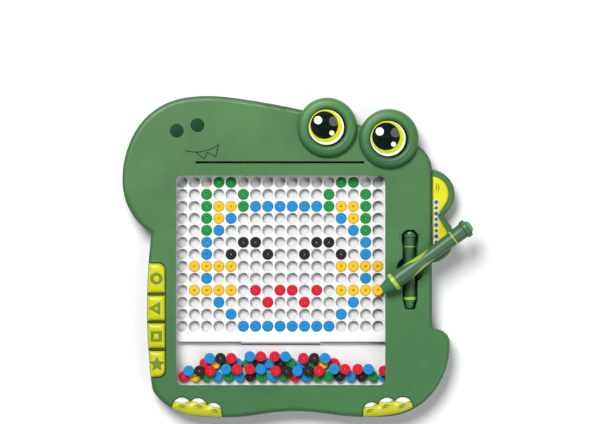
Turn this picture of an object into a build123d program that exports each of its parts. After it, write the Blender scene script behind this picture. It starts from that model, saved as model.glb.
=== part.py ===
from build123d import *
import os

# Magnetic bead drawing board in the shape of a cartoon dinosaur, lying on its back.
# A white perforated plate and a bead store sit under a clear screen in a two-part green case.
# Coloured beads with steel pins are dragged under the screen with a magnetic pen.
# +Z is up, out of the front face, +Y runs towards the head, and the snout points along -X.
# All lengths are in millimetres and all angles in degrees.

# --- driving dimensions -------------------------------------------------------------------
FACE_Z = 22.0            # front face of the case
BACK_Z = 1.0             # underside of the back cover, on rubber feet
SPLIT_Z = 7.0            # parting line between the front frame and the back cover
WALL = 2.4               # side walls of both case halves
LIP = 2.0                # how far the back cover's lip stands up inside the front frame
FACE_WALL = 3.0          # front wall of the case
BACK_WALL = 2.0          # floor of the back cover
EDGE_ROUND = 4.0         # rounding of the front face's outer edge
FIT = 0.15               # gap round a part that drops into a pocket

# Outline of the body, walked clockwise from the neck corner: (radius, turn), 0 is straight.
NECK = (-119.7, 19.5)
NECK_HEADING = 148.0
OUTLINE = [
    (50.7, -55), (78.3, -32), (57.9, -52), (124.5, -16), (650.8, -14), (23.5, -69),
    (125.7, 0), (5.9, 85), (10.2, -82), (61.5, -47), (51.7, -42), (225.2, -13),
    (163.1, 19), (180.9, -18), (47.2, -43), (15.6, -32),
]

EYE_R = 24.6
EYES = {"left": (25.2, 106.4), "right": (75.9, 97.1)}
EYE_TOP_Z = 28.0
LABEL_R = 15.4
EYE_SEAT_R = 21.0        # the shallow seat that an eye dome drops into
EYE_SEAT_DEPTH = 1.5
EYE_SCREW_X = 12.0       # two screws each side of an eye's middle

NOSTRILS = [(-98.6, 103.8), (-81.6, 108.4)]
NOSTRIL_R = 5.6
NOSTRIL_DEPTH = 1.0
SMILE_W = 0.8
SMILE_DEPTH = 0.6

CARD_SLOT_X = (-83.1, 55.7)    # a slot for a picture card, in a pocket of its own
CARD_SLOT_Y = (76.9, 78.7)
CARD_SLOT_Z = 12.5
CARD_POCKET_WALL = 1.8

SPINE_R = 20.2           # the two rounded spines that stand out of the right side
SPINE_CENTRES = [(110.1, 51.6), (109.7, 15.2)]
SPINE_NECK = (121.9, 33.4)
SPINE_NECK_ANGLE = 42    # where the neck's sides meet the circles, from +X
SPINE_TOP_Z = 16.5
SPINE_RIM = 4.9

WINDOW = (172.4, 172.6)
WINDOW_AT = (-13.2, -19.4)
WINDOW_ROUND = 5.0

# Inside the case
SCREEN_T = 2.0
SCREEN_Z = FACE_Z - FACE_WALL - SCREEN_T
TRAY_MARGIN = 4.0        # how far the tray runs on under the frame, each side
TRAY_WALL = 1.6
TRAY_FLOOR_Z = 7.0
TRAY_BASE_Z = TRAY_FLOOR_Z - TRAY_WALL
PLATE_T = 4.8
PLATE_TOP_Z = TRAY_FLOOR_Z + PLATE_T
PLATE_EDGE_Y = -70.1     # where the plate ends and the bead store begins
RAMP_X = (-47.9, 19.7)   # the ramp at the plate's lower edge
RAMP_RUN = 1.7

COLUMNS, ROWS = 17, 13
PITCH_X, PITCH_Y = 10.1, 9.9
FIRST_HOLE = (-94.5, 61.3)
HOLE_R = 4.55

BEAD_R = 4.42
BEAD_H = 4.6
PIN_R = 0.8
SEAT_Z = TRAY_FLOOR_Z + 0.1
HELD_Z = SCREEN_Z - 0.2 - BEAD_H    # a bead that hangs on the magnet, under the screen

COLOURS = {"G": "green", "Y": "yellow", "B": "blue", "K": "black", "R": "red"}
# Left half of the cat's face laid out on the plate, from its second column to its middle.
# The right half is its mirror image, and the first column is empty.
FACE_HALF = [
    "..GG....", ".G..G...", ".GYYGBBB", ".GYB....", ".GB.....", ".B..KK..", ".B.K..K.",
    "YYYY....", ".B......", "YYYY.R.R", "..B...R.", "...B....", "....BBBB",
]
DRAGGED = (16, 9)        # column and row of the bead that hangs under the loose pen's tip

# Beads in the store: (first x, y, colours), one layer of rows lying on the other.
HEAP_STEP = 8.9
HEAP_LOWER = [(-93.2, -98.9, 9.17, "RYGBGBKGBGRBGGKBKGB"), (-75.9, -88.2, HEAP_STEP, "RYGBGKBKGBGYR")]
HEAP_UPPER = [
    (-89.1, -94.2, HEAP_STEP, "BKR"), (-58.2, -92.8, HEAP_STEP, "BR"), (-38.6, -92.8, HEAP_STEP, "RB"),
    (-17.2, -94.2, HEAP_STEP, "RKBKR"), (31.0, -92.8, HEAP_STEP, "BR"), (50.4, -92.8, HEAP_STEP, "RB"),
    (72.0, -94.2, HEAP_STEP, "R"), (-71.8, -83.8, HEAP_STEP, "BKR"), (-38.6, -82.4, HEAP_STEP, "BR"),
    (-18.1, -82.4, HEAP_STEP, "RB"), (5.6, -83.8, HEAP_STEP, "RKB"),
]

PEN_L = 90.5
PEN_R = 7.7              # at the grip ring, where the pen is widest
SPARE_SCALE = 0.706      # the short spare pen that is kept in the well
PEN_TIP_AT = (70.6, -27.2)
PEN_ANGLE = 36.4
WELL_AT = (93.4, -10.5)
WELL_L = 65.6
WELL_W = 12.4
WELL_FLOOR_Z = 10.4
SCOOP_R = 11.3
ARCH_DEPTH = 0.8         # the shallow arch round the well's head

TILE_X = (-121.6, -108.2)
TILE_ROUND = 6.0
TILES = {
    "ring": (-29.8, -5.4), "triangle": (-52.6, -32.0),
    "square": (-75.4, -54.8), "star": (-99.0, -77.5),
}
POCKET_Z = FACE_Z - 1.8
INSERT_TOP_Z = FACE_Z + 0.9
GROOVE = 0.9             # dark gap between an insert and the edge of its pocket

FEET_MIRROR_X = -3.4     # the two feet mirror each other about this line
TOES = [(-94.4, -124.0, 9.0), (-81.3, -123.9, 8.4), (-68.5, -127.1, 7.7)]

BOSSES = [
    (-132, 55), (-114, 104), (-50, 114), (-15, 96), (95, 47), (102, -64), (100, -97),
    (40, -118), (-49, -118), (-111, -109), (-112, 3),
]
BOSS_R = 3.5
SCREW_R = 1.3
SCREW_HEAD_R = 2.75
RIB_AT = (-75, -37.5, 0, 37.5, 75)    # ribs under the bead tray, each way from its middle
RIB_T = 1.6
RIB_REACH = 88.0
RUBBER_FEET = [(-104, 86), (96, 62), (98, -84), (-98, -104), (-8, -20)]
FOOT_R = 5.5
FOOT_Z = 1.8             # top of a rubber foot, in its recess


# --- small helpers ------------------------------------------------------------------------
def slab(face, low, high):
    """A flat region made solid between two heights."""
    return Pos(0, 0, low) * extrude(face, high - low)


def box(x, y, z):
    """A box from its (low, high) pair along each axis."""
    size = [pair[1] - pair[0] for pair in (x, y, z)]
    middle = [(pair[0] + pair[1]) / 2 for pair in (x, y, z)]
    return Pos(*middle) * Box(*size)


def widened(pair, margin):
    """A (low, high) pair made longer at both ends."""
    return pair[0] - margin, pair[1] + margin


def rod(at, radius, low, high):
    return Pos(at[0], at[1], (low + high) / 2) * Cylinder(radius, high - low)


def rounded_slab(face, start, end, radius):
    """A slab whose edge at the end height is rounded."""
    solid = slab(face, min(start, end), max(start, end))
    return fillet(top_edges(solid, end), radius)


def turned(points):
    """A solid turned about Z from its (radius, height) profile."""
    return revolve(make_face(Polyline(*[(r, 0, z) for r, z in points], close=True)), Axis.Z)


def lathe(*edges):
    """A solid turned about Z from its profile's edges, drawn flat as (radius, height)."""
    return revolve(Rot(90, 0, 0) * make_face(edges), Axis.Z)


def top_edges(solid, height):
    return solid.edges().filter_by(lambda e: abs(e.bounding_box().min.Z - height) < 1e-4)


# --- flat outlines ------------------------------------------------------------------------
def body_outline():
    """The body's outline, without eyes and spines, with a slightly eased neck corner."""
    here = Vector(*NECK)
    heading = Vector(1, 0).rotate(Axis.Z, NECK_HEADING)
    edges = []
    for radius, turn in OUTLINE:
        if turn:
            edge = JernArc(here, heading, radius, turn)
        else:
            edge = Line(here, here + heading * radius)
        edges.append(edge)
        here, heading = edge @ 1, edge % 1
    edges.append(TangentArc(here, NECK, tangent=heading))
    face = make_face(edges)
    neck = face.vertices().sort_by_distance(Vector(*NECK))[0]
    return fillet(neck, 1.5)


def spine_web(inset=0.0):
    """The short neck between the two spines, up to where its sides touch their circles."""
    touch = Vector(SPINE_R - inset, 0)
    upper = Vector(*SPINE_CENTRES[0]) + touch.rotate(Axis.Z, -SPINE_NECK_ANGLE)
    lower = Vector(*SPINE_CENTRES[1]) + touch.rotate(Axis.Z, SPINE_NECK_ANGLE)
    neck_x, neck_y = SPINE_NECK
    return make_face(Polyline(
        (100, 45), upper, (neck_x - inset, neck_y + 0.8), (neck_x - inset, neck_y - 0.8), lower,
        (100, 22), close=True,
    ))


def spine_outline(inset=0.0):
    """The two rounded spines beside the body, joined by a short neck."""
    circles = [Pos(*c) * Circle(SPINE_R - inset) for c in SPINE_CENTRES]
    return circles[0] + circles[1] + spine_web(inset)


def eye_outline():
    return sum((Pos(*at) * Circle(EYE_R) for at in EYES.values()), start=Sketch())


def window_outline(grow=0.0, corner=WINDOW_ROUND):
    return Pos(*WINDOW_AT) * RectangleRounded(WINDOW[0] + 2 * grow, WINDOW[1] + 2 * grow, corner)


def well_outline():
    """The pen well: a channel with a wide head, a tapered foot and a finger scoop each side."""
    half, foot = WELL_L / 2, 8.4
    channel = make_face(Polyline(
        (-7, half - 10), (-7, half - 4), (-3.2, half), (3.2, half), (7, half - 4), (7, half - 10),
        (WELL_W / 2, half - 14), (WELL_W / 2, -half + foot), (4.1, -half), (-4.1, -half),
        (-WELL_W / 2, -half + foot), (-WELL_W / 2, half - 14), close=True,
    ))
    return Pos(*WELL_AT) * (channel + Circle(SCOOP_R))


BODY = body_outline()
SPINES = spine_outline()
EYE_DISCS = eye_outline()


def foot_outline(shrink=0.0):
    """The left foot: three round toes with a web between them, past the body's lower edge."""
    toes = sum((Pos(x, y) * Circle(r - shrink) for x, y, r in TOES), start=Sketch())
    web = make_face(Polyline(
        (-103.4 + shrink, -124.5), (-90, -121), (-75, -121.5), (-60.8 - shrink, -127.1),
        (-60.8 - shrink, -140), (-103.4 + shrink, -140), close=True,
    ))
    return toes + web


def nail_outline():
    """The white tip of each toe of the left foot."""
    nails = Sketch()
    for (x, y, r), tilt in zip(TOES, (0, -8, -14)):
        nails += Pos(x, y) * (Circle(r - 0.5) & Rot(0, 0, tilt) * Pos(0, r + 2.6) * Circle(r))
    return nails


def right_side(thing):
    """The right foot is the left one mirrored, and a little higher."""
    return Pos(0, 0.4, 0) * mirror(thing, Plane.YZ.offset(FEET_MIRROR_X))


def tile_outline(name, grow=0.0):
    low, high = TILES[name]
    right = TILE_X[1] + grow
    face = make_face(Polyline(
        (right - 24, low - grow), (right, low - grow), (right, high + grow), (right - 24, high + grow),
        close=True,
    ))
    ends = {"ring": 1, "star": -1}
    if name in ends:
        corner = face.vertices().sort_by_distance(
            Vector(right, (high + grow) if ends[name] > 0 else (low - grow)))[0]
        face = fillet(corner, TILE_ROUND)
    return face


def spine_panel_outline(inset):
    beside = Rectangle(40, 90, align=(Align.MIN, Align.CENTER))
    return spine_outline(SPINE_RIM + inset) & (Pos(111.7 + inset, 33.4) * beside)


def smile_lines():
    """A thin smile with two small teeth, as a narrow band."""
    mouth = ThreePointArc((-91.6, 87.5), (-78, 86.6), (-63.8, 92.7))
    teeth = [
        Line((-82.8, 86.0), (-75.9, 80.6)), Line((-75.9, 80.6), (-73.4, 85.9)),
        Line((-73.4, 85.9), (-66.6, 82.4)), Line((-66.6, 82.4), (-64.3, 91.9)),
    ]
    return trace([mouth, *teeth], SMILE_W)


# --- case ---------------------------------------------------------------------------------
def front_frame():
    under = FACE_Z - FACE_WALL
    frame = rounded_slab(BODY, SPLIT_Z, FACE_Z, EDGE_ROUND)
    for at in SPINE_CENTRES:
        frame += Pos(*at) * rounded_slab(Circle(SPINE_R), SPLIT_Z, SPINE_TOP_Z, 2.0)
    frame += slab(spine_web(), SPLIT_Z, SPINE_TOP_Z - 0.6)
    frame += slab(EYE_DISCS, SPLIT_Z, FACE_Z)

    hollow = slab(offset(BODY, -WALL), SPLIT_Z, under)
    hollow += slab(offset(SPINES, -WALL), SPLIT_Z, SPINE_TOP_Z - 3.4)
    for at in EYES.values():
        hollow += rod(at, EYE_R - WALL, SPLIT_Z, under)
    frame -= hollow
    frame -= slab(offset(BODY + SPINES + EYE_DISCS, -WALL), SPLIT_Z, SPLIT_Z + LIP + 0.2)

    # screw bosses and the card pocket under the front wall
    for at in BOSSES:
        frame += rod(at, BOSS_R, SPLIT_Z, under + 0.5)
        frame -= rod(at, SCREW_R, SPLIT_Z, under - 2)
    frame += box(widened(CARD_SLOT_X, CARD_POCKET_WALL), widened(CARD_SLOT_Y, CARD_POCKET_WALL),
                 (CARD_SLOT_Z - CARD_POCKET_WALL, under + 0.5))
    frame -= box(CARD_SLOT_X, CARD_SLOT_Y, (CARD_SLOT_Z, FACE_Z + 1))

    # window, pen well and the shallow arch round its head
    frame -= slab(window_outline(), SCREEN_Z, FACE_Z + 1)
    frame -= slab(well_outline(), SCREEN_Z, FACE_Z + 1)
    head = Pos(WELL_AT[0], WELL_AT[1] + WELL_L / 2 - 6) * (
        Rectangle(17.4, 5) + Pos(0, 2.4) * Rectangle(11, 4.6))
    frame -= slab(head, FACE_Z - ARCH_DEPTH, FACE_Z + 1)

    # pockets for the inserts
    for name in TILES:
        frame -= slab(tile_outline(name, GROOVE), POCKET_Z, FACE_Z + 1)
    foot = slab(foot_outline(), POCKET_Z, FACE_Z + 1)
    frame -= foot + right_side(foot)
    frame -= slab(spine_panel_outline(0), SPINE_TOP_Z - 1.6, SPINE_TOP_Z + 1) - slab(BODY, 0, FACE_Z)
    for at in NOSTRILS:
        frame -= rod(at, NOSTRIL_R, FACE_Z - NOSTRIL_DEPTH, FACE_Z + 1)
    frame -= slab(smile_lines(), FACE_Z - SMILE_DEPTH, FACE_Z + 1)

    # seats and screw holes of the eye domes
    for at in EYES.values():
        frame -= rod(at, EYE_SEAT_R, FACE_Z - EYE_SEAT_DEPTH, FACE_Z + 1)
        for x in (-EYE_SCREW_X, EYE_SCREW_X):
            frame -= rod((at[0] + x, at[1]), 1.6, SCREEN_Z, FACE_Z)
    return frame


def back_cover():
    outline = BODY + SPINES + EYE_DISCS
    cover = rounded_slab(BODY, SPLIT_Z, BACK_Z, 2.0)
    for at, radius in [(c, SPINE_R) for c in SPINE_CENTRES] + [(c, EYE_R) for c in EYES.values()]:
        cover += Pos(*at) * rounded_slab(Circle(radius), SPLIT_Z, BACK_Z, 2.0)
    cover += slab(spine_web(), BACK_Z + 0.6, SPLIT_Z)
    inner = offset(outline, -WALL)
    cover -= slab(inner, BACK_Z + BACK_WALL, SPLIT_Z)
    lip = offset(outline, -WALL - 0.1) - offset(outline, -WALL - 1.3)
    cover += slab(lip, BACK_Z + BACK_WALL, SPLIT_Z + LIP)
    cover -= slab(outline - offset(outline, -0.5), SPLIT_Z - 0.6, SPLIT_Z)
    # ribs that carry the bead tray
    x_mid, y_mid = WINDOW_AT
    along_x, along_y = widened((x_mid, x_mid), RIB_REACH), widened((y_mid, y_mid), RIB_REACH)
    for step in RIB_AT:
        cover += box(widened((x_mid + step, x_mid + step), RIB_T / 2), along_y, (BACK_Z + 1, TRAY_BASE_Z))
        cover += box(along_x, widened((y_mid + step, y_mid + step), RIB_T / 2), (BACK_Z + 1, TRAY_BASE_Z))
    for at in BOSSES:
        cover += rod(at, BOSS_R, BACK_Z + 1, SPLIT_Z - 0.1)
        cover -= rod(at, 1.7, BACK_Z, SPLIT_Z)
        cover -= rod(at, SCREW_HEAD_R + 0.25, BACK_Z, BACK_Z + 2.4)
    for at in RUBBER_FEET:
        cover -= rod(at, FOOT_R, BACK_Z, FOOT_Z)
    return cover


def screws(points, length, head_z):
    """Self-tapping pan-head screws with a cross recess, heads down at head_z, points up."""
    shank = SCREW_R - 0.05
    screw = turned([(0, 0), (SCREW_HEAD_R - 0.15, 0), (SCREW_HEAD_R, 0.4), (SCREW_HEAD_R, 1.5), (shank, 1.9),
                    (shank, length - 1.2), (0, length)])
    screw -= Box(3.2, 0.7, 1.8) + Box(0.7, 3.2, 1.8)
    return Compound([Pos(x, y, head_z) * screw for x, y in points])


def rubber_feet():
    pad = turned([(0, 0), (FOOT_R - 0.6, 0), (FOOT_R - 0.15, 0.45), (FOOT_R - 0.15, FOOT_Z), (0, FOOT_Z)])
    return Compound([Pos(x, y, 0) * pad for x, y in RUBBER_FEET])


# --- window parts -------------------------------------------------------------------------
def screen():
    return slab(window_outline(TRAY_MARGIN + TRAY_WALL, 8), SCREEN_Z, SCREEN_Z + SCREEN_T)


def bead_tray():
    tray = slab(window_outline(TRAY_MARGIN + TRAY_WALL, 8), TRAY_BASE_Z, SCREEN_Z)
    return tray - slab(window_outline(TRAY_MARGIN, 6.4), TRAY_FLOOR_Z, SCREEN_Z)


def hole_centre(column, row):
    return FIRST_HOLE[0] + column * PITCH_X, FIRST_HOLE[1] - row * PITCH_Y


def grid_plate():
    """The perforated plate, with a ramp up from the bead store in the middle of its lower edge."""
    low_y = PLATE_EDGE_Y - WINDOW_AT[1]
    top_y = WINDOW[1] / 2 + TRAY_MARGIN - FIT
    half_x = WINDOW[0] / 2 + TRAY_MARGIN - FIT
    plate = Pos(*WINDOW_AT) * make_face(FilletPolyline(
        (-half_x, low_y), (half_x, low_y), (half_x, top_y), (-half_x, top_y),
        radius=(0.5, 0.5, 6.4, 6.4), close=True,
    ))
    spots = [hole_centre(i, j) for i in range(COLUMNS) for j in range(ROWS)]
    for spot in spots:
        plate -= Pos(*spot) * Circle(HOLE_R)
    solid = slab(plate, TRAY_FLOOR_Z, PLATE_TOP_Z)
    slope = make_face(Polyline(
        (PLATE_EDGE_Y + 0.5, TRAY_FLOOR_Z), (PLATE_EDGE_Y + 0.5, PLATE_TOP_Z), (PLATE_EDGE_Y - 0.4, PLATE_TOP_Z),
        (PLATE_EDGE_Y - 0.4 - RAMP_RUN, TRAY_FLOOR_Z), close=True,
    ))
    ramp = Pos(RAMP_X[0], 0, 0) * extrude(Plane.YZ * slope, RAMP_X[1] - RAMP_X[0])
    return solid + ramp


# --- eyes, inserts ------------------------------------------------------------------------
def eye_dome(at):
    base, top = FACE_Z, EYE_TOP_Z
    seat, rim = LABEL_R + FIT, EYE_R - 5.2
    dome = lathe(
        Polyline((seat, top - 1.7), (0, top - 1.7), (0, base - EYE_SEAT_DEPTH),
                 (EYE_SEAT_R - 0.2, base - EYE_SEAT_DEPTH), (EYE_SEAT_R - 0.2, base), (EYE_R, base),
                 (EYE_R, base + 1.6)),
        ThreePointArc((EYE_R, base + 1.6), (EYE_R - 1.6, top - 1.3), (rim, top)),
        ThreePointArc((rim, top), (LABEL_R + 1.3, top - 0.4), (seat, top - 1.7)),
    )
    for x in (-EYE_SCREW_X, EYE_SCREW_X):
        dome -= rod((x, 0), SCREW_R - 0.05, base - EYE_SEAT_DEPTH, base + 3)
    return Pos(*at) * dome


def eye_labels():
    disc = turned([(0, 0), (LABEL_R, 0), (LABEL_R, 0.7), (LABEL_R - 0.5, 1.1), (0, 1.5)])
    return Compound([Pos(x, y, EYE_TOP_Z - 1.7) * disc for x, y in EYES.values()])


def nostril_inserts():
    plug = turned([(0, 0), (NOSTRIL_R - FIT, 0), (NOSTRIL_R - FIT, 0.9), (NOSTRIL_R - 0.6, 1.2), (0, 1.4)])
    return Compound([Pos(x, y, FACE_Z - NOSTRIL_DEPTH) * plug for x, y in NOSTRILS])


def side_tile(name):
    return rounded_slab(tile_outline(name) & offset(BODY, -0.6), POCKET_Z, INSERT_TOP_Z, 1.6)


def foot_and_nails():
    """The left foot's pad with seats cut for its nails, and the nails."""
    outline = foot_outline(0.7) & offset(BODY, -0.6)
    pad = rounded_slab(outline, POCKET_Z, INSERT_TOP_Z, 1.4)
    seats = slab(nail_outline() & outline, FACE_Z - 0.8, FACE_Z + 3)
    return pad - seats, pad & seats


def spine_panel():
    panel = slab(spine_panel_outline(FIT), SPINE_TOP_Z - 1.6, SPINE_TOP_Z - 0.3)
    return panel - slab(BODY, 0, FACE_Z)


def pen_well():
    """A dark tub under the front wall, with a rim the shape of the opening."""
    opening = well_outline()
    tub = slab(offset(opening, 1.4), WELL_FLOOR_Z - 1.4, FACE_Z - FACE_WALL)
    return tub - slab(opening, WELL_FLOOR_Z, FACE_Z)


# --- beads --------------------------------------------------------------------------------
def bead_cap():
    """A flat bead with rounded edges, a hole for its pin and a small dish round the pin's head."""
    r, h, low, high = BEAD_R, BEAD_H, 1.0, 0.9
    return lathe(
        Polyline((PIN_R, h - 0.35), (PIN_R, 0), (r - low, 0)),
        ThreePointArc((r - low, 0), (r - 0.29 * low, 0.29 * low), (r, low)),
        Line((r, low), (r, h - high)),
        ThreePointArc((r, h - high), (r - 0.29 * high, h - 0.29 * high), (r - high, h)),
        Line((r - high, h), (1.5, h)),
        ThreePointArc((1.5, h), (1.05, h - 0.12), (PIN_R, h - 0.35)),
    )


def bead_pin():
    return turned([(0, 0.2), (PIN_R, 0.2), (PIN_R, BEAD_H - 0.4), (PIN_R - 0.3, BEAD_H - 0.2), (0, BEAD_H - 0.15)])


def grid_spots():
    """Every bead on the plate, as (colour letter, x, y, z), apart from the dragged one."""
    found = []
    for row, half in enumerate(FACE_HALF):
        letters = "." + half + half[::-1]
        for column, letter in enumerate(letters):
            if letter != "." and (column, row) != DRAGGED:
                found.append((letter, *hole_centre(column, row), SEAT_Z))
    return found


def heap_spots():
    """Every bead in the store, in two layers."""
    found = []
    for level, rows in enumerate((HEAP_LOWER, HEAP_UPPER)):
        z = SEAT_Z + level * (BEAD_H + 0.1)
        for first, y, step, letters in rows:
            found += [(letter, first + k * step, y, z) for k, letter in enumerate(letters)]
    return found


def copies(solid, spots):
    return Compound([Pos(x, y, z) * solid for _, x, y, z in spots])


# --- pens ---------------------------------------------------------------------------------
def along_x(points):
    """A solid turned about X from its (distance, radius) profile."""
    face = make_face(Polyline(*points, close=True))
    return revolve(face, Axis.X)


def barrel_line(shift):
    """The grip's outside, from the tip ring to the tail ring, moved in by shift."""
    knots = [(13.4, 6.7), (25, 7.0), (38, 6.1), (51, 5.4), (62, 5.6), (71.3, 5.9)]
    return Spline(*[(x, r - shift) for x, r in knots])


def turned_barrel(inset, bore):
    outside = barrel_line(inset)
    start, end = outside @ 0, outside @ 1
    face = make_face([outside, Polyline(end, (end.X, bore), (start.X, bore), start)])
    return revolve(face, Axis.X)


def pen_parts():
    """The pen's pieces, lying along +X with the tip's face at x = 0."""
    tip = along_x([(0, 0), (0, 3.7), (0.4, 4.0), (9.7, 6.7), (9.7, 0)])
    tip -= Pos(4.9, 0, 0) * Rot(0, 90, 0) * Cylinder(3.1, 6.2)
    magnet = along_x([(1.9, 0), (1.9, 3.0), (7.9, 3.0), (7.9, 0)])
    ring = along_x([(9.8, 0), (9.8, 7.4), (10.2, PEN_R), (12.8, PEN_R), (13.3, 7.3), (13.3, 0)])

    sleeve = turned_barrel(0, 4.2)
    lens = make_face([
        ThreePointArc((18.5, 0), (36, 5.3), (55, 0)), ThreePointArc((55, 0), (36, -5.3), (18.5, 0)),
    ])
    side_cut = Rot(90, 0, 0) * extrude(lens, 12, both=True)
    sleeve -= side_cut - Rot(0, 90, 0) * Cylinder(4.2, 200)
    core = turned_barrel(0.55, 0) & side_cut
    core += Pos(42.3, 0, 0) * Rot(0, 90, 0) * Cylinder(4.15, 57.8)

    tail_ring = along_x([(71.4, 0), (71.4, 6.1), (71.7, 6.3), (72.3, 6.3), (72.6, 6.1), (72.6, 0)])
    cap = along_x([
        (72.7, 0), (72.7, 6.0), (82.4, 6.5), (82.9, 7.2), (83.6, 7.65), (86.2, 7.65), (87.0, 7.1), (87.2, 5.6),
        (87.2, 0),
    ])
    button = along_x([(87.3, 0), (87.3, 5.3), (88.6, 5.0), (89.8, 3.7), (90.4, 1.8), (PEN_L, 0)])
    return {
        "tip": tip, "magnet": magnet, "grip_ring": ring, "sleeve": sleeve, "core": core,
        "tail_ring": tail_ring, "cap": cap, "button": button,
    }


def loose_pen_place():
    """The pen lies level just over the front face, its magnet holding on to the dragged bead."""
    return Pos(*PEN_TIP_AT, FACE_Z + PEN_R + 0.15) * Rot(0, 0, PEN_ANGLE)


def spare_pen_place():
    tail_y = WELL_AT[1] + WELL_L / 2 - 0.9
    axis_z = WELL_FLOOR_Z + 0.1 + PEN_R * SPARE_SCALE
    return Pos(WELL_AT[0], tail_y - PEN_L * SPARE_SCALE, axis_z) * Rot(0, 0, 90)


# --- assembly -----------------------------------------------------------------------------
def build_parts():
    parts = {
        "front_frame": front_frame(),
        "back_cover": back_cover(),
        "clear_screen": screen(),
        "bead_tray": bead_tray(),
        "grid_plate": grid_plate(),
        "eye_labels": eye_labels(),
        "nostril_inserts": nostril_inserts(),
        "spine_panel": spine_panel(),
        "pen_well": pen_well(),
        "rubber_feet": rubber_feet(),
        "case_screws": screws(BOSSES, 11.5, BACK_Z + 0.5),
        "eye_screws": screws(
            [(x + dx, y) for x, y in EYES.values() for dx in (-EYE_SCREW_X, EYE_SCREW_X)], 7.0,
            FACE_Z - FACE_WALL - 1.9),
    }
    for side, at in EYES.items():
        parts[f"eye_dome_{side}"] = eye_dome(at)
    for name in TILES:
        parts[f"side_tile_{name}"] = side_tile(name)
    foot, nails = foot_and_nails()
    parts["foot_left"], parts["foot_right"] = foot, right_side(foot)
    parts["toe_nails"] = Compound([*nails.solids(), *right_side(nails).solids()])

    cap, pin = bead_cap(), bead_pin()
    for letter, colour in COLOURS.items():
        seated = [s for s in grid_spots() if s[0] == letter]
        heaped = [s for s in heap_spots() if s[0] == letter]
        parts[f"grid_beads_{colour}"] = copies(cap, seated)
        parts[f"grid_pins_{colour}"] = copies(pin, seated)
        parts[f"store_beads_{colour}"] = copies(cap, heaped)
    parts["store_pins"] = copies(pin, heap_spots())
    dragged = [("Y", *hole_centre(*DRAGGED), HELD_Z)]
    parts["dragged_bead"] = copies(cap, dragged)
    parts["dragged_pin"] = copies(pin, dragged)

    for name, piece in pen_parts().items():
        parts[f"pen_{name}"] = loose_pen_place() * piece
        parts[f"spare_pen_{name}"] = spare_pen_place() * scale(piece, SPARE_SCALE)
    return parts


def centred(parts):
    """Moves everything so that the whole object's box is centred on the origin."""
    boxes = [piece.bounding_box() for piece in parts.values()]
    x = (min(b.min.X for b in boxes) + max(b.max.X for b in boxes)) / 2
    y = (min(b.min.Y for b in boxes) + max(b.max.Y for b in boxes)) / 2
    print("centring shift", round(-x, 4), round(-y, 4))
    return {name: Pos(-x, -y, 0) * piece for name, piece in parts.items()}


os.makedirs("parts", exist_ok=True)
for node, shape in centred(build_parts()).items():
    export_step(shape, f"parts/{node}.step")
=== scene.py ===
"""Looks for the dinosaur-shaped magnetic bead drawing board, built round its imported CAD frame."""
import math

import bmesh
import bpy
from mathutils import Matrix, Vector, geometry
from mathutils.bvhtree import BVHTree


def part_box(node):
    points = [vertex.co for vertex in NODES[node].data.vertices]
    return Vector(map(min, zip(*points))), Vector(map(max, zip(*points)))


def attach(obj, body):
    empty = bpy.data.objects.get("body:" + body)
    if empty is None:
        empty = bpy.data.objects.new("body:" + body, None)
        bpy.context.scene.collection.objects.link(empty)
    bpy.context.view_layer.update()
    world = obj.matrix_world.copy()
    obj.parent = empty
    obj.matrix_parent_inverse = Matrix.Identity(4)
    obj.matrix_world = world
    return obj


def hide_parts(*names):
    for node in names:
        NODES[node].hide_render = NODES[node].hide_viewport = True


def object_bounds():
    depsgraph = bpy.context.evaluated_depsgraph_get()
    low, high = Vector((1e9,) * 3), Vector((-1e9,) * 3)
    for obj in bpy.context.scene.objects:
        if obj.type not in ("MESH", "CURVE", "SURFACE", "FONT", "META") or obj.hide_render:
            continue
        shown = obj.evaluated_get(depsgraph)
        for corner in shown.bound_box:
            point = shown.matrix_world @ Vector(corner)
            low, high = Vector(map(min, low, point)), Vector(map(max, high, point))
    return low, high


MM = 0.001
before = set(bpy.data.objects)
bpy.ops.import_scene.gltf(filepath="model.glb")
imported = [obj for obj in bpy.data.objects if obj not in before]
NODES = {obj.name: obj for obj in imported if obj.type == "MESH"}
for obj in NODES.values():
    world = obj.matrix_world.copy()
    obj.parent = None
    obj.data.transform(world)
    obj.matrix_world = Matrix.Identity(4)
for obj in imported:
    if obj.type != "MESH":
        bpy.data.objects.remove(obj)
CAD_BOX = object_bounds()

COLUMNS, ROWS = 17, 13
HOLE_GAP = 0.13 * MM
HOLE_SEGMENTS = 32
SIDE_CLEAR = 1.9 * MM
RAMP_RUN = 2.1 * MM
RAMP_X = (-46.6 * MM, 18.7 * MM)
SYMBOL_SIZE = {"ring": 5.0 * MM, "triangle": 6.4 * MM, "square": 6.4 * MM, "star": 6.2 * MM}

BEAD_COLOURS = {
    "green": (0, 150, 58), "yellow": (255, 203, 0), "blue": (0, 146, 222),
    "black": (34, 24, 24), "red": (232, 0, 40),
}


# --- frame measures -----------------------------------------------------------------------
def centre(node):
    low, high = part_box(node)
    return (low + high) / 2


def top_of(node):
    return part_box(node)[1].z


# --- materials ----------------------------------------------------------------------------
def linear(rgb):
    """An sRGB colour, 0 to 255, as the linear colour that a shader takes."""
    parts = [c / 255 for c in rgb]
    return [c / 12.92 if c <= 0.04045 else ((c + 0.055) / 1.055) ** 2.4 for c in parts] + [1.0]


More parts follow.
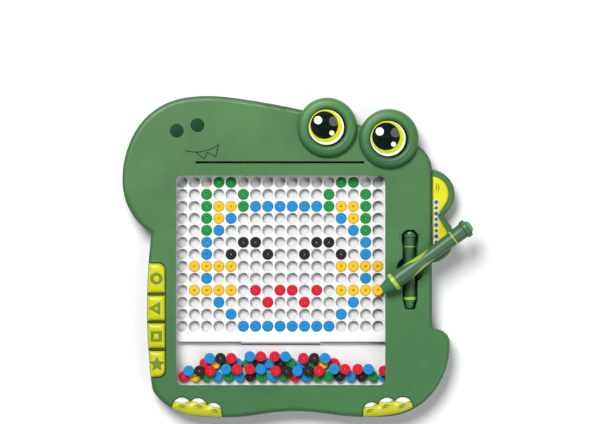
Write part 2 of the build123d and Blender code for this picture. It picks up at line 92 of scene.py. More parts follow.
class Graph:
    """A material's nodes, with short ways to add and join them."""

    def __init__(self, name):
        self.material = bpy.data.materials.new(name)
        self.material.use_nodes = True
        self.tree = self.material.node_tree
        self.shader = self.tree.nodes["Principled BSDF"]
        self.place = self.add("ShaderNodeTexCoord").outputs["Object"]

    def add(self, kind, **settings):
        node = self.tree.nodes.new(kind)
        for key, value in settings.items():
            setattr(node, key, value)
        return node

    def feed(self, socket, value):
        if isinstance(value, bpy.types.NodeSocket):
            self.tree.links.new(value, socket)
        else:
            socket.default_value = value

    def set(self, **values):
        for key, value in values.items():
            self.feed(self.shader.inputs[key.replace("_", " ")], value)

    def math(self, operation, *values, clamp=False):
        node = self.add("ShaderNodeMath", operation=operation, use_clamp=clamp)
        for socket, value in zip(node.inputs, values):
            self.feed(socket, value)
        return node.outputs[0]

    def noise(self, scale, detail=3.0, rough=0.5, vector=None, stretch=None):
        """Noise of about scale features per metre."""
        where = vector or self.place
        if stretch:
            mapping = self.add("ShaderNodeMapping")
            self.feed(mapping.inputs["Vector"], where)
            mapping.inputs["Scale"].default_value = stretch
            where = mapping.outputs[0]
        node = self.add("ShaderNodeTexNoise")
        self.feed(node.inputs["Vector"], where)
        node.inputs["Scale"].default_value = scale
        node.inputs["Detail"].default_value = detail
        node.inputs["Roughness"].default_value = rough
        return node.outputs["Fac"]

    def spread(self, value, low, high, start=0.3, end=0.7):
        """Value, moved from start..end to low..high."""
        node = self.add("ShaderNodeMapRange")
        for socket, number in zip(node.inputs, (value, start, end, low, high)):
            self.feed(socket, number)
        return node.outputs[0]

    def mix(self, factor, first, second):
        node = self.add("ShaderNodeMix", data_type="RGBA")
        colours = [s for s in node.inputs if s.type == "RGBA"]
        self.feed(node.inputs["Factor"], factor)
        self.feed(colours[0], first)
        self.feed(colours[1], second)
        return [s for s in node.outputs if s.type == "RGBA"][0]

    def axis(self, name):
        split = self.add("ShaderNodeSeparateXYZ")
        self.feed(split.inputs[0], self.place)
        return split.outputs[name]

    def bump(self, height, distance, strength=1.0):
        node = self.add("ShaderNodeBump")
        node.inputs["Distance"].default_value = distance
        node.inputs["Strength"].default_value = strength
        self.feed(node.inputs["Height"], height)
        self.set(Normal=node.outputs[0])


def darker(colour, share):
    return [c * share for c in colour[:3]] + [1.0]


def moulded(name, rgb, rough=0.38, grain=900, depth=0.00003, mottle=0.9, specular=0.5, coat=0.0):
    """Moulded plastic: faint colour mottle, uneven gloss and a fine spark-eroded grain."""
    g = Graph(name)
    base = linear(rgb)
    patches = g.spread(g.noise(22, 4), 0.0, 1.0)
    g.set(Base_Color=g.mix(patches, darker(base, mottle), base))
    wear = g.noise(160, 5, 0.6)
    g.set(Roughness=g.spread(wear, rough - 0.05, rough + 0.08))
    g.bump(g.noise(grain, 2), depth, 0.6)
    g.shader.inputs["Specular IOR Level"].default_value = specular
    g.shader.inputs["Coat Weight"].default_value = coat
    g.shader.inputs["Coat Roughness"].default_value = 0.12
    return g


def shaded_sides(g, colour, edges):
    """Colour with painted shade below each rounded edge, a dark green down the sides: edges are (height, where
    the height counts) pairs.
    """
    z = g.axis("Z")
    side = 0.0
    for height, share in edges:
        under = g.spread(z, 1.0, 0.0, height - 0.5 * MM, height + 0.7 * MM)
        side = g.math("MAXIMUM", side, g.math("MULTIPLY", under, share))
    # painted shade: the dark green that stands for the shaded sides below each rounded edge
    return g.mix(side, colour, g.mix(0.5, linear((8, 44, 34)), linear((34, 76, 50))))


def case_green():
    """The case's green, with a painted light gradient that makes it a little lighter and yellower towards the
    head, and painted shade down its sides.
    """
    g = moulded("case_green", (88, 139, 88), rough=0.42, grain=1100)
    low, high = CAD_BOX[0][1], CAD_BOX[1][1]
    height = g.spread(g.axis("Y"), 0.0, 1.0, low, high)
    # painted light: the green grows lighter towards the head, as if lit from above it
    painted_light_gradient = g.mix(height, linear((60, 119, 65)), linear((73, 125, 67)))
    patches = g.spread(g.noise(22, 4), 0.0, 1.0)
    shade = g.mix(patches, linear((228, 228, 228)), linear((255, 255, 255)))
    product = g.add("ShaderNodeMix", data_type="RGBA", blend_type="MULTIPLY")
    product.inputs["Factor"].default_value = 1.0
    colours = [s for s in product.inputs if s.type == "RGBA"]
    g.feed(colours[0], painted_light_gradient)
    g.feed(colours[1], shade)
    shaded = [s for s in product.outputs if s.type == "RGBA"][0]
    panel_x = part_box("spine_panel")[0].x
    beside = g.spread(g.axis("X"), 0.0, 1.0, panel_x - 0.6 * MM, panel_x)
    body = g.math("SUBTRACT", 1.0, beside)
    # painted shade down the case's sides and the spine panel's sides
    edges = [(top_of("front_frame") - 1.5 * MM, body), (top_of("spine_panel") - 0.7 * MM, beside)]
    g.set(Base_Color=shaded_sides(g, shaded, edges))
    return g


def eye_green():
    """The eye rings' green, with a painted light gradient that is lighter towards the top of the board, and
    painted shade round the foot of each ring.
    """
    g = moulded("eye_green", (92, 146, 90), rough=0.42)
    low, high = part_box("eye_dome_left")[0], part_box("eye_dome_left")[1]
    ends = (centre("eye_dome_right").y - 25 * MM, centre("eye_dome_left").y + 25 * MM)
    # painted light: the rings grow lighter along +Y, from below one eye to above the other
    painted_light_gradient = g.mix(g.spread(g.axis("Y"), 0.0, 1.0, *ends), linear((38, 98, 55)), linear((78, 133, 71)))
    # painted shade round the foot of each ring
    g.set(Base_Color=shaded_sides(g, painted_light_gradient, [(low.z + 3.7 * MM, 1.0)]))
    return g


def steel(name="steel"):
    g = Graph(name)
    g.set(Base_Color=g.mix(g.noise(700, 3), linear((150, 150, 154)), linear((205, 205, 208))), Metallic=1.0)
    g.set(Roughness=g.spread(g.noise(1800, 3), 0.22, 0.42))
    g.bump(g.noise(2600, 2), 0.00001)
    return g


def clear_sheet():
    """Clear polished plastic with a few hairline scratches."""
    g = Graph("clear_plastic")
    scratches = g.noise(260, 2, stretch=(1, 14, 1))
    g.set(Base_Color=linear((40, 44, 44)), Roughness=g.spread(scratches, 0.04, 0.12), Alpha=0.03)
    g.bump(g.noise(30, 2), 0.00002, 0.3)
    g.shader.inputs["Specular IOR Level"].default_value = 0.6
    return g


def wear(material, *nodes):
    """Gives each node or piece its material."""
    for thing in nodes:
        target = NODES[thing] if isinstance(thing, str) else thing
        target.data.materials.clear()
        target.data.materials.append(material.material if isinstance(material, Graph) else material)


MATERIALS = {
    "case": case_green(),
    "back": moulded("back_green", (74, 124, 78), rough=0.5, grain=700, depth=0.00005),
    "eye": eye_green(),
    "white": moulded("white_plastic", (247, 247, 246), rough=0.45, mottle=0.97, depth=0.00001),
    "tile": moulded("tile_lime", (206, 208, 2), rough=0.34, mottle=0.93),
    "spine": moulded("spine_yellow", (226, 224, 4), rough=0.36, mottle=0.95),
    "foot": moulded("foot_lime", (206, 208, 38), rough=0.34, mottle=0.86),
    "nail": moulded("nail_white", (238, 244, 230), rough=0.2, mottle=0.94, coat=0.5),
    "nostril": moulded("nostril_green", (6, 62, 32), rough=0.5, specular=0.2),
    "line": moulded("line_green", (17, 48, 33), rough=0.5),
    "well": moulded("well_green", (58, 110, 76), rough=0.5, grain=600, depth=0.00006),
    "rubber": moulded("foot_rubber", (40, 42, 42), rough=0.8, grain=1800, depth=0.00006, specular=0.3),
    "pen": moulded("pen_green", (58, 104, 68), rough=0.4),
    "pen_tip": moulded("pen_tip_green", (54, 120, 80), rough=0.5),
    "pen_lime": moulded("pen_lime", (170, 204, 48), rough=0.36),
    "button": moulded("button_green", (66, 152, 96), rough=0.28, coat=0.4),
    "steel": steel(),
    "clear": clear_sheet(),
    "crease": moulded("crease_olive", (98, 130, 20), rough=0.5),
    "mark_blue": moulded("mark_blue", (62, 84, 196), rough=0.4),
    "mark_white": moulded("mark_white", (240, 242, 250), rough=0.4),
    # painted shadow: dark grey for the strip along the plate's step
    "joint": moulded("step_shadow_grey", (92, 90, 94), rough=0.6),
    "symbol": moulded("symbol_olive", (112, 138, 20), rough=0.4),
}
for colour, rgb in BEAD_COLOURS.items():
    MATERIALS[f"bead_{colour}"] = moulded(f"bead_{colour}", rgb, rough=0.5, grain=1600, depth=0.00002,
                                          mottle=0.95, specular=0.25)

wear(MATERIALS["case"], "front_frame")
wear(MATERIALS["back"], "back_cover")
wear(MATERIALS["eye"], "eye_dome_left", "eye_dome_right")
wear(MATERIALS["white"], "grid_plate", "bead_tray")
wear(MATERIALS["tile"], *[n for n in NODES if n.startswith("side_tile")])
wear(MATERIALS["spine"], "spine_panel")
wear(MATERIALS["foot"], "foot_left", "foot_right")
wear(MATERIALS["nail"], "toe_nails")
wear(MATERIALS["nostril"], "nostril_inserts")
wear(MATERIALS["well"], "pen_well")
wear(MATERIALS["rubber"], "rubber_feet")
wear(MATERIALS["clear"], "clear_screen")
wear(MATERIALS["steel"], *[n for n in NODES if "pins" in n or "screws" in n or "magnet" in n], "dragged_pin")
for pen in ("pen_", "spare_pen_"):
    wear(MATERIALS["pen"], pen + "sleeve", pen + "cap")
    wear(MATERIALS["pen_tip"], pen + "tip")
    wear(MATERIALS["pen_lime"], pen + "grip_ring", pen + "core", pen + "tail_ring")
    wear(MATERIALS["button"], pen + "button")
for colour in BEAD_COLOURS:
    wear(MATERIALS[f"bead_{colour}"], f"grid_beads_{colour}", f"store_beads_{colour}")
wear(MATERIALS["bead_yellow"], "dragged_bead")


def eye_print():
    """The printed eye discs: circles inside circles, the same on both eyes."""
    g = Graph("eye_label")
    domes = [centre("eye_dome_left"), centre("eye_dome_right")]
    x, y = g.axis("X"), g.axis("Y")

    def circle(dx, dy, radius):
        """1 inside a circle set off from either eye's middle, with a soft edge of 0.12 mm."""
        nearest = None
        for dome in domes:
            across = g.math("SUBTRACT", x, dome.x + dx * MM)
            along = g.math("SUBTRACT", y, dome.y + dy * MM)
            squares = g.math("ADD", g.math("POWER", across, 2.0), g.math("POWER", along, 2.0))
            distance = g.math("SQRT", squares)
            nearest = distance if nearest is None else g.math("MINIMUM", nearest, distance)
        return g.spread(nearest, 1.0, 0.0, (radius - 0.06) * MM, (radius + 0.06) * MM)

    colour = linear((8, 10, 10))
    colour = g.mix(circle(-0.74, 0.16, 14.4), colour, linear((250, 250, 250)))
    upward = g.spread(y, 0, 1, domes[1].y - 14 * MM, domes[1].y + 14 * MM)
    lime = g.mix(upward, linear((186, 212, 28)), linear((222, 224, 10)))
    colour = g.mix(circle(-1.32, 1.07, 13.5), colour, lime)
    pupil = circle(-2.39, 1.89, 11.4)
    colour = g.mix(pupil, colour, linear((2, 18, 10)))
    grey = g.math("MULTIPLY", circle(5.43, 5.02, 4.0), pupil)
    colour = g.mix(grey, colour, linear((92, 92, 86)))
    colour = g.mix(circle(-7.57, 5.93, 3.35), colour, linear((250, 252, 250)))
    colour = g.mix(circle(3.79, -4.53, 2.05), colour, linear((250, 252, 250)))
    g.set(Base_Color=colour, Roughness=g.spread(g.noise(300, 3), 0.16, 0.26))
    g.bump(g.noise(900, 2), 0.00001, 0.5)
    g.shader.inputs["Coat Weight"].default_value = 0.6
    return g


wear(eye_print(), "eye_labels")


# --- mesh building ------------------------------------------------------------------------
def new_piece(name, mesh, material, body):
    """Makes a piece from a bmesh, and ties it to its body."""
    bmesh.ops.recalc_face_normals(mesh, faces=mesh.faces)
    data = bpy.data.meshes.new(name)
    mesh.to_mesh(data)
    mesh.free()
    piece = bpy.data.objects.new(name, data)
    bpy.context.scene.collection.objects.link(piece)
    for face in data.polygons:
        face.use_smooth = True
    data.set_sharp_from_angle(angle=math.radians(38))
    wear(MATERIALS[material], piece)
    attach(piece, body)
    return piece


def outlines_of(node):
    """The closed outlines of a CAD node's flat underside, longest first, as 2-D points."""
    mesh = bmesh.new()
    mesh.from_mesh(NODES[node].data)
    bmesh.ops.remove_doubles(mesh, verts=mesh.verts, dist=1e-6)
    low = min(v.co.z for v in mesh.verts)
    under = {f for f in mesh.faces if all(v.co.z < low + 1e-5 for v in f.verts)}
    rim = [e for e in mesh.edges if sum(f in under for f in e.link_faces) == 1]
    loops, free = [], set(rim)
    while free:
        edge = free.pop()
        start, here = edge.verts
        loop = [start.co.xy.copy()]
        while here != start:
            loop.append(here.co.xy.copy())
            edge = next(e for e in here.link_edges if e in free)
            free.remove(edge)
            here = edge.other_vert(here)
        loops.append(loop)
    mesh.free()
    return sorted(loops, key=loop_length, reverse=True)


def loop_length(loop):
    return sum((a - b).length for a, b in zip(loop, loop[1:] + loop[:1]))


def evenly(loop, step):
    """A closed loop resampled at about even steps, with its sharp corners kept."""
    points = []
    for index, point in enumerate(loop):
        following = loop[(index + 1) % len(loop)]
        count = max(1, round((following - point).length / step))
        points += [point.lerp(following, k / count) for k in range(count)]
    return [p for p, q in zip(points, points[1:] + points[:1]) if (p - q).length > step * 0.2]


def edge_distance(point, loop):
    """How far a point is from the nearest stretch of a loop."""
    best = 1.0
    for a, b in zip(loop, loop[1:] + loop[:1]):
        along = b - a
        share = max(0.0, min(1.0, (point - a).dot(along) / max(along.length_squared, 1e-14)))
        best = min(best, (point - a - along * share).length)
    return best


def is_inside(point, loop):
    inside = False
    for a, b in zip(loop, loop[1:] + loop[:1]):
        if (a.y > point.y) != (b.y > point.y):
            if point.x < (b.x - a.x) * (point.y - a.y) / (b.y - a.y) + a.x:
                inside = not inside
    return inside


def pillow(name, loop, bottom, height, step, material, body):
    """A closed solid over a flat outline, whose top is height(distance to the outline, point)."""
    rim = evenly(loop, step)
    xs, ys = [p.x for p in loop], [p.y for p in loop]
    points = list(rim)
    rows = int((max(ys) - min(ys)) / step) + 1
    columns = int((max(xs) - min(xs)) / step) + 1
    for row in range(rows):
        for column in range(columns):
            spot = Vector((min(xs) + (column + 0.5 * (row % 2)) * step, min(ys) + row * step))
            if is_inside(spot, loop) and edge_distance(spot, loop) > step * 0.45:
                points.append(spot)
    edges = [(k, (k + 1) % len(rim)) for k in range(len(rim))]
    spots, _, faces, *_ = geometry.delaunay_2d_cdt(points, edges, [], 1, 1e-7)
    mesh = bmesh.new()
    tops, floors = [], []
    for spot in spots:
        distance = edge_distance(spot, loop)
        tops.append(mesh.verts.new((spot.x, spot.y, height(distance, spot))))
        floors.append(mesh.verts.new((spot.x, spot.y, bottom)))
    used = {}
    for face in faces:
        mesh.faces.new([tops[k] for k in face])
        mesh.faces.new([floors[k] for k in reversed(face)])
        for a, b in zip(face, face[1:] + face[:1]):
            used[(a, b)] = used.get((a, b), 0) + 1
    for a, b in used:
        if (b, a) not in used:
            mesh.faces.new((tops[b], tops[a], floors[a], floors[b]))
    bmesh.ops.delete(mesh, geom=[v for v in mesh.verts if not v.link_faces], context="VERTS")
    return new_piece(name, mesh, material, body)


def crown(low, rise, reach):
    """A rounded edge: from low at the outline up by rise, over a distance of reach."""
    def height(distance, _):
        share = min(1.0, distance / reach)
        return low + rise * math.sqrt(max(0.0, 1 - (1 - share) ** 2))
    return height


def slab_rings(name, rings, material, body):
    """A closed solid through rings of equal length: each ring is (points, z). The first and last are capped."""
    mesh = bmesh.new()
    loops = [[mesh.verts.new((p.x, p.y, z)) for p in points] for points, z in rings]
    for lower, upper in zip(loops, loops[1:]):
        for k in range(len(lower)):
            n = (k + 1) % len(lower)
            mesh.faces.new((lower[k], lower[n], upper[n], upper[k]))
    mesh.faces.new(list(reversed(loops[0])))
    mesh.faces.new(loops[-1])
    return new_piece(name, mesh, material, body)


def plate_white():
    """White plastic with painted light and shade: brighter in the seats, and painted grey shade down the sides
    of the holes.
    """
    g = moulded("plate_white", (250, 250, 250), rough=0.5, mottle=0.98, depth=0.00001)
    z, low, top = g.axis("Z"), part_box("grid_plate")[0].z, top_of("grid_plate")
    # painted shade: grey down the sides of the holes
    painted_wall_shade = g.math("MULTIPLY", g.spread(z, 0.0, 1.0, low + 0.05 * MM, low + 0.4 * MM),
                   g.spread(z, 1.0, 0.0, top - 0.5 * MM, top - 0.08 * MM))
    # painted light: the seat floors go pure white
    floors = g.spread(z, 1.0, 0.0, low + 0.02 * MM, low + 0.12 * MM)
    colour = g.mix(floors, linear((250, 250, 250)), linear((255, 255, 255)))
    g.set(Base_Color=g.mix(painted_wall_shade, colour, linear((120, 120, 122))))
    return g


MATERIALS["plate"] = plate_white()


# --- perforated plate ---------------------------------------------------------------------
def cell(mesh, middle, bounds, profile, top, floor_z):
    """One hole of the plate, from its square of top surface down through it to the underside."""
    west, east, south, north = bounds
    segments = HOLE_SEGMENTS
    directions = [Vector((math.cos(a), math.sin(a))) for a in
                  (2 * math.pi * (k + 0.5) / segments for k in range(segments))]

    def on_square(direction):
        reach_x = ((east if direction.x > 0 else west) - middle.x) / direction.x
        reach_y = ((north if direction.y > 0 else south) - middle.y) / direction.y
        return middle + direction * min(reach_x, reach_y)

    def ring(points, z):
        return [mesh.verts.new((p.x, p.y, z)) for p in points]

    square = [on_square(d) for d in directions]
    rings = [ring(square, top)]
    rings += [ring([middle + d * radius for d in directions], z) for radius, z in profile]
    rings.append(ring([middle + d * profile[-1][0] for d in directions], floor_z))
    rings.append(ring(square, floor_z))
    for outer, inner in zip(rings, rings[1:]):
        for k in range(segments):
            n = (k + 1) % segments
            mesh.faces.new((outer[k], outer[n], inner[n], inner[k]))
    corners = [Vector((x, y)) for x, y in ((east, north), (west, north), (west, south), (east, south))]
    for quarter, corner in enumerate(corners):
        k = (quarter * segments // 4 + nearest_corner(square, corner, quarter, segments)) % segments
        n = (k + 1) % segments
        for loop, z in ((rings[0], top), (rings[-1], floor_z)):
            mesh.faces.new((loop[k], loop[n], mesh.verts.new((corner.x, corner.y, z))))


def nearest_corner(square, corner, quarter, segments):
    """Which step of a quarter turn holds the square's corner."""
    steps = range(segments // 4)
    begin = quarter * segments // 4

    def gap(step):
        a, b = square[(begin + step) % segments], square[(begin + step + 1) % segments]
        return (a - corner).length + (b - corner).length - (a - b).length
    return min(steps, key=gap)


def close_sides(mesh, top, floor_z):
    """Joins the open rim of the top to the open rim of the underside, straight down."""
    def key(vert):
        return round(vert.co.x * 1e5), round(vert.co.y * 1e5)

    mesh.edges.ensure_lookup_table()
    rims = [e for e in mesh.edges if e.is_boundary]
    below = {key(v): v for e in rims for v in e.verts if abs(v.co.z - floor_z) < 1e-6}
    for edge in rims:
        if all(abs(v.co.z - top) < 1e-6 for v in edge.verts):
            a, b = edge.verts
            mesh.faces.new((a, b, below[key(b)], below[key(a)]))


def perforated_plate():
    """The plate with softly rounded hole edges and a cupped seat at the bottom of each hole."""
    low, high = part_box("grid_plate")
    yellow, green, blue = (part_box(f"grid_beads_{c}") for c in ("yellow", "green", "blue"))
    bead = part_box("dragged_bead")
    radius = (bead[1].x - bead[0].x) / 2
    second, last = yellow[0].x + radius, yellow[1].x - radius
    first_row, last_row = green[1].y - radius, blue[0].y + radius
    pitch_x, pitch_y = (last - second) / (COLUMNS - 2), (first_row - last_row) / (ROWS - 1)
    hole, top, floor_z = radius + HOLE_GAP, high.z, low.z
    profile = [(hole + 0.3 * MM, top), (hole + 0.09 * MM, top - 0.09 * MM), (hole, top - 0.3 * MM),
               (hole, floor_z + 0.3 * MM), (hole - 0.12 * MM, floor_z + 0.1 * MM),
               (hole - 0.4 * MM, floor_z + 0.03 * MM)]
    between = [second + (k - 0.5) * pitch_x for k in range(COLUMNS - 1)]
    xs = [low.x + SIDE_CLEAR, *between, high.x - SIDE_CLEAR]
    edge_y = low.y + RAMP_RUN
    ys = [edge_y] + [last_row + (k + 0.5) * pitch_y for k in range(ROWS - 1)] + [high.y - SIDE_CLEAR]
    mesh = bmesh.new()
    for column in range(COLUMNS):
        for row in range(ROWS):
            middle = Vector((second + (column - 1) * pitch_x, last_row + row * pitch_y))
            cell(mesh, middle, (xs[column], xs[column + 1], ys[row], ys[row + 1]), profile, top, floor_z)
    bmesh.ops.remove_doubles(mesh, verts=mesh.verts, dist=4e-6)
    close_sides(mesh, top, floor_z)
    piece = new_piece("perforated_plate", mesh, "plate", "root")
    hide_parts("grid_plate")
    ramp(edge_y, low, top)
    step_shadow_strip(edge_y, top)


def prism(name, section, start, end, material):
    """A closed bar along X with a section of (y, z) points."""
    mesh = bmesh.new()
    ends = [[mesh.verts.new((x, y, z)) for y, z in section] for x in (start, end)]
    for k in range(len(section)):
        n = (k + 1) % len(section)
        mesh.faces.new((ends[0][k], ends[0][n], ends[1][n], ends[1][k]))
    mesh.faces.new(list(reversed(ends[0])))
    mesh.faces.new(ends[1])
    return new_piece(name, mesh, material, "root")


def ramp(edge_y, low, top):
    """The low ramp that beads are swept up, from the store on to the plate."""
    back = edge_y - 0.05 * MM
    section = [(back, low.z), (back, top - 0.1 * MM), (edge_y - 0.5 * MM, top - 0.12 * MM),
               (edge_y - 0.8 * MM, top - 0.45 * MM), (low.y + 0.1 * MM, low.z + 0.3 * MM), (low.y, low.z)]
    prism("plate_ramp", section, RAMP_X[0], RAMP_X[1], "white")


def step_shadow_strip(edge_y, top):
    """A dark grey strip of painted shadow along the step between the plate and the store's floor, lower in
    front of the ramp.
    """
    left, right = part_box("bead_tray")[0].x + 6 * MM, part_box("bead_tray")[1].x - 6 * MM
    for name, start, end, drop in (("left", left, RAMP_X[0], 0), ("middle", RAMP_X[0], RAMP_X[1], RAMP_RUN),
                                   ("right", RAMP_X[1], right, 0)):
        y, z = edge_y - drop - 0.05 * MM, top - (3.9 * MM if drop else 0.15 * MM)
        front, under = y - 0.62 * MM, z - 0.6 * MM
        section = [(y, under), (y, z), (y - 0.5 * MM, z), (front, z - 0.12 * MM), (front, under)]
        prism(f"plate_step_shadow_{name}", section, start, end, "joint")


# --- raised marks -------------------------------------------------------------------------
def disc(angle):
    """The outline radius of a disc of unit size, the same at every angle."""
    return 1.0


def polar(corners, rounding, star=1.0):
    """The outline radius of a rounded polygon or star of unit size at an angle."""
    half = math.pi / corners

    def radius(angle):
        turn = (angle - math.pi / 2) % (2 * half)
        side = abs(turn - half)
        if star < 1:
            share = side / half
            sharp = star / (share * star + (1 - share))
        else:
            sharp = math.cos(half) / math.cos(side)
        return sharp * (1 - rounding) + rounding * min(sharp, 0.9)
    return radius


def shape_points(radius, size, middle, turn=0.0, count=96):
    angles = [2 * math.pi * k / count for k in range(count)]
    return [Vector((middle[0] + size * radius(a) * math.cos(a + turn),
                    middle[1] + size * radius(a) * math.sin(a + turn))) for a in angles]


def raised_shape(name, radius, size, middle, low, high, material, turn=0.0, hollow=0.0):
    """A raised flat shape with eased edges, with a hole of the same shape where hollow is set."""
    def ring(share):
        return shape_points(radius, size * share, middle, turn)

    ease = 0.25 * MM
    outer = [(ring(1.0), low), (ring(1.0), high - ease), (ring(1 - 0.3 * ease / size), high - 0.3 * ease),
             (ring(1 - ease / size), high)]
    if not hollow:
        return slab_rings(name, outer, material, "root")
    inner = [(ring(hollow + ease / size), high), (ring(hollow + 0.3 * ease / size), high - 0.3 * ease),
             (ring(hollow), high - ease), (ring(hollow), low)]
    mesh = bmesh.new()
    loops = [[mesh.verts.new((p.x, p.y, z)) for p in points] for points, z in outer + inner]
    for first, second in zip(loops, loops[1:] + loops[:1]):
        for k in range(len(first)):
            n = (k + 1) % len(first)
            mesh.faces.new((first[k], first[n], second[n], second[k]))
    return new_piece(name, mesh, material, "root")


def crease(name, middle, length, bow, thick, turn, height, material):
    """A thin bowed mark, thickest in its middle, lying on a surface whose height is height(x, y)."""
    steps = 18
    sides = ([], [])
    for k in range(steps + 1):
        share = k / steps
        along, lift = (share - 0.5) * length, bow * (1 - (2 * share - 1) ** 2)
        half = thick / 2 * math.sin(math.pi * min(max(share, 0.02), 0.98)) ** 0.7
        for side, sign in zip(sides, (1, -1)):
            x, y = along, lift + sign * half
            side.append(Vector((middle[0] + x * math.cos(turn) - y * math.sin(turn),
                                middle[1] + x * math.sin(turn) + y * math.cos(turn))))
    mesh = bmesh.new()
    tops = [[mesh.verts.new((p.x, p.y, height(p.x, p.y) + 0.12 * MM)) for p in side] for side in sides]
    lows = [[mesh.verts.new((p.x, p.y, height(p.x, p.y) - 0.25 * MM)) for p in side] for side in sides]
    for k in range(steps):
        mesh.faces.new((tops[0][k], tops[0][k + 1], tops[1][k + 1], tops[1][k]))
        mesh.faces.new((lows[0][k], lows[1][k], lows[1][k + 1], lows[0][k + 1]))
        mesh.faces.new((tops[0][k], lows[0][k], lows[0][k + 1], tops[0][k + 1]))
        mesh.faces.new((tops[1][k], tops[1][k + 1], lows[1][k + 1], lows[1][k]))
    for k in (0, steps):
        mesh.faces.new((tops[0][k], tops[1][k], lows[1][k], lows[0][k]))
    return new_piece(name, mesh, material, "root")


def height_over(piece):
    """How high a piece's top is at a place."""
    tree = bmesh_tree(piece)

    def height(x, y):
        hit = tree.ray_cast(Vector((x, y, 0.05)), Vector((0, 0, -1)))
        return hit[0].z if hit[0] else centre("side_tile_ring").z
    return height


def bmesh_tree(piece):
    mesh = bmesh.new()
    mesh.from_mesh(piece.data)
    tree = BVHTree.FromBMesh(mesh)
    mesh.free()
    return tree


# --- tiles, feet, spines ------------------------------------------------------------------
def side_tiles():
    shapes = {"ring": (disc, 0.46), "triangle": (polar(3, 0.2), 0.3),
              "square": (polar(4, 0.08), 0.44), "star": (polar(5, 0.06, 0.48), 0.0)}
    for name, (radius, hollow) in shapes.items():
        node = f"side_tile_{name}"
        low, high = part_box(node)
        rise = crown(high.z - 2.0 * MM, 2.5 * MM, 4.2 * MM)
        tile = pillow(f"tile_{name}", outlines_of(node)[0], low.z, rise, 1.1 * MM, "tile", "root")
        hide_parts(node)
        middle = (low + high) / 2
        crown_z = high.z + 0.5 * MM
        size = SYMBOL_SIZE[name]
        turn = math.pi / 2 if name == "triangle" else math.pi / 4 if name == "square" else 0
        raised_shape(f"tile_symbol_{name}", radius, size, middle, crown_z - 1.2 * MM, crown_z + 0.35 * MM,
                     "symbol", turn, hollow)


def feet():
    """Pillow-like toes with glossy nails and two creases behind each nail."""
    pads = {}
    for side in ("left", "right"):
        node = f"foot_{side}"
        low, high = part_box(node)
        rise = crown(high.z - 2.2 * MM, 3.0 * MM, 5.5 * MM)
        pad = pillow(f"toes_{side}", outlines_of(node)[0], low.z, rise, 0.9 * MM, "foot", "root")
        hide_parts(node)
        pads[side] = height_over(pad)
    nails = [loop for loop in outlines_of("toe_nails") if loop_length(loop) > 5 * MM]
    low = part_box("toe_nails")[0].z
    for index, loop in enumerate(sorted(nails, key=lambda points: points[0].x)):
        nail = pillow(f"nail_{index}", loop, low, crown(low + 1.3 * MM, 2.1 * MM, 1.9 * MM),
                      0.55 * MM, "nail", "root")
        if index == 0:
            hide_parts("toe_nails")
        middle = sum(loop, Vector((0, 0))) / len(loop)
        side = "left" if middle.x < 0 else "right"
        out = 1 if side == "left" else -1
        for k, (drop, length, thick) in enumerate(((5.2, 8.0, 1.1), (6.8, 5.6, 0.9))):
            spot = (middle.x + out * 0.5 * MM * k, middle.y - drop * MM)
            crease(f"toe_crease_{index}_{k}", spot, length * MM, 1.6 * MM, thick * MM, -0.06 * out * index,
                   pads[side], "crease")


def spine():
    """The yellow panel beside the case, its two creases and its row of plain blue marks."""
    low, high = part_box("spine_panel")
    rise = crown(high.z - 1.0 * MM, 1.0 * MM, 3.2 * MM)
    panel = pillow("spine_plate", outlines_of("spine_panel")[0], low.z, rise, 1.3 * MM, "spine", "root")
    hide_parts("spine_panel")
    surface = height_over(panel)
    top_y = high.y
    for k, (right, length) in enumerate(((3.4, 7.4), (5.2, 8.6))):
        spot = (low.x + (right - 1.0) * MM, top_y - (9.2 + 0.6 * k) * MM)
        crease(f"spine_crease_{k}", spot, length * MM, 1.3 * MM, 0.9 * MM, -math.pi / 2 - 0.05, surface,
               "crease")
    for k in range(8):
        middle = (low.x + 3.2 * MM, top_y - (21.5 + 4.7 * k) * MM)
        radius = polar(4, 0.1) if k % 2 == 0 else disc
        size = (2.3 if k % 2 == 0 else 1.55) * MM
        z = surface(*middle)
        raised_shape(f"mark_border_{k}", radius, size + 0.45 * MM, middle, z - 0.3 * MM, z + 0.12 * MM,
                     "mark_white")
        raised_shape(f"mark_{k}", radius, size, middle, z - 0.1 * MM, z + 0.3 * MM, "mark_blue")


def arc_points(start, middle, end, steps=24):
    """Points along the circle through three points."""
    (ax, ay), (bx, by), (cx, cy) = start, middle, end
    a, b, c = (x * x + y * y for x, y in (start, middle, end))
    scale = 2 * (ax * (by - cy) + bx * (cy - ay) + cx * (ay - by))
    ox = (a * (by - cy) + b * (cy - ay) + c * (ay - by)) / scale
    oy = (a * (cx - bx) + b * (ax - cx) + c * (bx - ax)) / scale
    radius = math.hypot(ax - ox, ay - oy)
    first, last = math.atan2(ay - oy, ax - ox), math.atan2(cy - oy, cx - ox)
    angles = [first + (last - first) * k / steps for k in range(steps + 1)]
    return [(ox + radius * math.cos(angle), oy + radius * math.sin(angle)) for angle in angles]


def smile():
    """The dark inlay in the smile's groove, placed from the nostrils."""
    middle = centre("nostril_inserts")
    height = top_of("front_frame") - 0.36 * MM
    mouth = arc_points((-1.5, -18.6), (12.1, -19.5), (26.3, -13.4))
    teeth = [(7.3, -20.1), (14.2, -25.5), (16.7, -20.2), (23.5, -23.7), (25.8, -14.2)]
    for name, points in (("line", mouth), ("teeth", teeth)):
        curve = bpy.data.curves.new(f"smile_{name}", "CURVE")
        curve.dimensions = "3D"
        curve.bevel_depth = 0.4 * MM
        curve.bevel_resolution = 3
        curve.use_fill_caps = True
        spline = curve.splines.new("POLY")
        spline.points.add(len(points) - 1)
        for point, (x, y) in zip(spline.points, points):
            point.co = (middle.x + x * MM, middle.y + y * MM, height, 1)
        piece = bpy.data.objects.new(f"smile_{name}", curve)
        bpy.context.scene.collection.objects.link(piece)
        wear(MATERIALS["line"], piece)
        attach(piece, "root")


perforated_plate()
side_tiles()
feet()
spine()
smile()


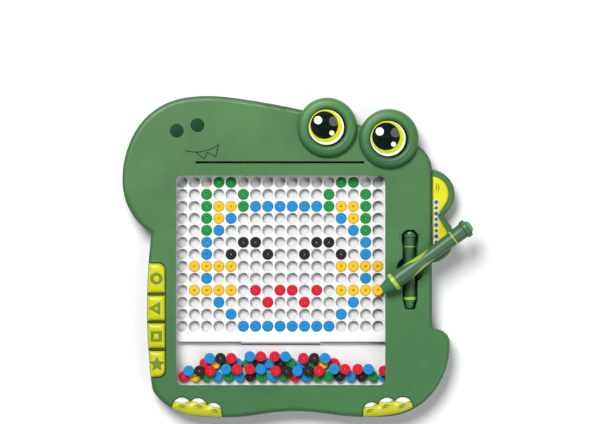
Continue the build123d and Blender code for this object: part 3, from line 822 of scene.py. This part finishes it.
# --- stage --------------------------------------------------------------------------------
def floor():
    bpy.ops.mesh.primitive_plane_add(size=6, location=(0, 0, 0))
    plane = bpy.context.object
    plane.name = "floor"
    g = Graph("floor")
    g.set(Base_Color=linear((252, 252, 252)), Roughness=0.9)
    wear(g, plane)


def light(name, size, energy, place, aim=(0, 0, 0)):
    data = bpy.data.lights.new(name, "AREA")
    data.shape = "DISK"
    data.size = size
    data.energy = energy
    lamp = bpy.data.objects.new(name, data)
    bpy.context.scene.collection.objects.link(lamp)
    lamp.location = place
    lamp.rotation_euler = (Vector(aim) - Vector(place)).to_track_quat("-Z", "Y").to_euler()


def camera():
    """A long lens straight above the board, a little above its middle."""
    distance, span = 3.0, 0.4938
    data = bpy.data.cameras.new("camera")
    data.sensor_width = 36
    data.lens = 36 * distance / span
    data.clip_end = 20
    cam = bpy.data.objects.new("camera", data)
    bpy.context.scene.collection.objects.link(cam)
    cam.location = (2.04 * MM, 36.87 * MM, 22 * MM + distance)
    bpy.context.scene.camera = cam


def studio_world():
    """Bright round the horizon and dimmer overhead, so that flat tops carry little veil."""
    world = bpy.data.worlds.new("studio")
    bpy.context.scene.world = world
    world.use_nodes = True
    tree = world.node_tree
    split = tree.nodes.new("ShaderNodeSeparateXYZ")
    tree.links.new(tree.nodes.new("ShaderNodeTexCoord").outputs["Generated"], split.inputs[0])
    ramp = tree.nodes.new("ShaderNodeMapRange")
    ramp.interpolation_type = "SMOOTHSTEP"
    for socket, value in zip(list(ramp.inputs)[1:5], (0.55, 0.95, HORIZON_LIGHT, ZENITH_LIGHT)):
        socket.default_value = value
    tree.links.new(split.outputs["Z"], ramp.inputs["Value"])
    tree.links.new(ramp.outputs[0], tree.nodes["Background"].inputs["Strength"])


HORIZON_LIGHT, ZENITH_LIGHT = 1.6, 0.5
floor()
light("key", 1.5, 84, (-0.75, 1.35, 2.3))
light("fill", 2.2, 26, (1.4, -0.9, 1.9))
camera()
studio_world()
bpy.context.scene.view_settings.view_transform = "Standard"
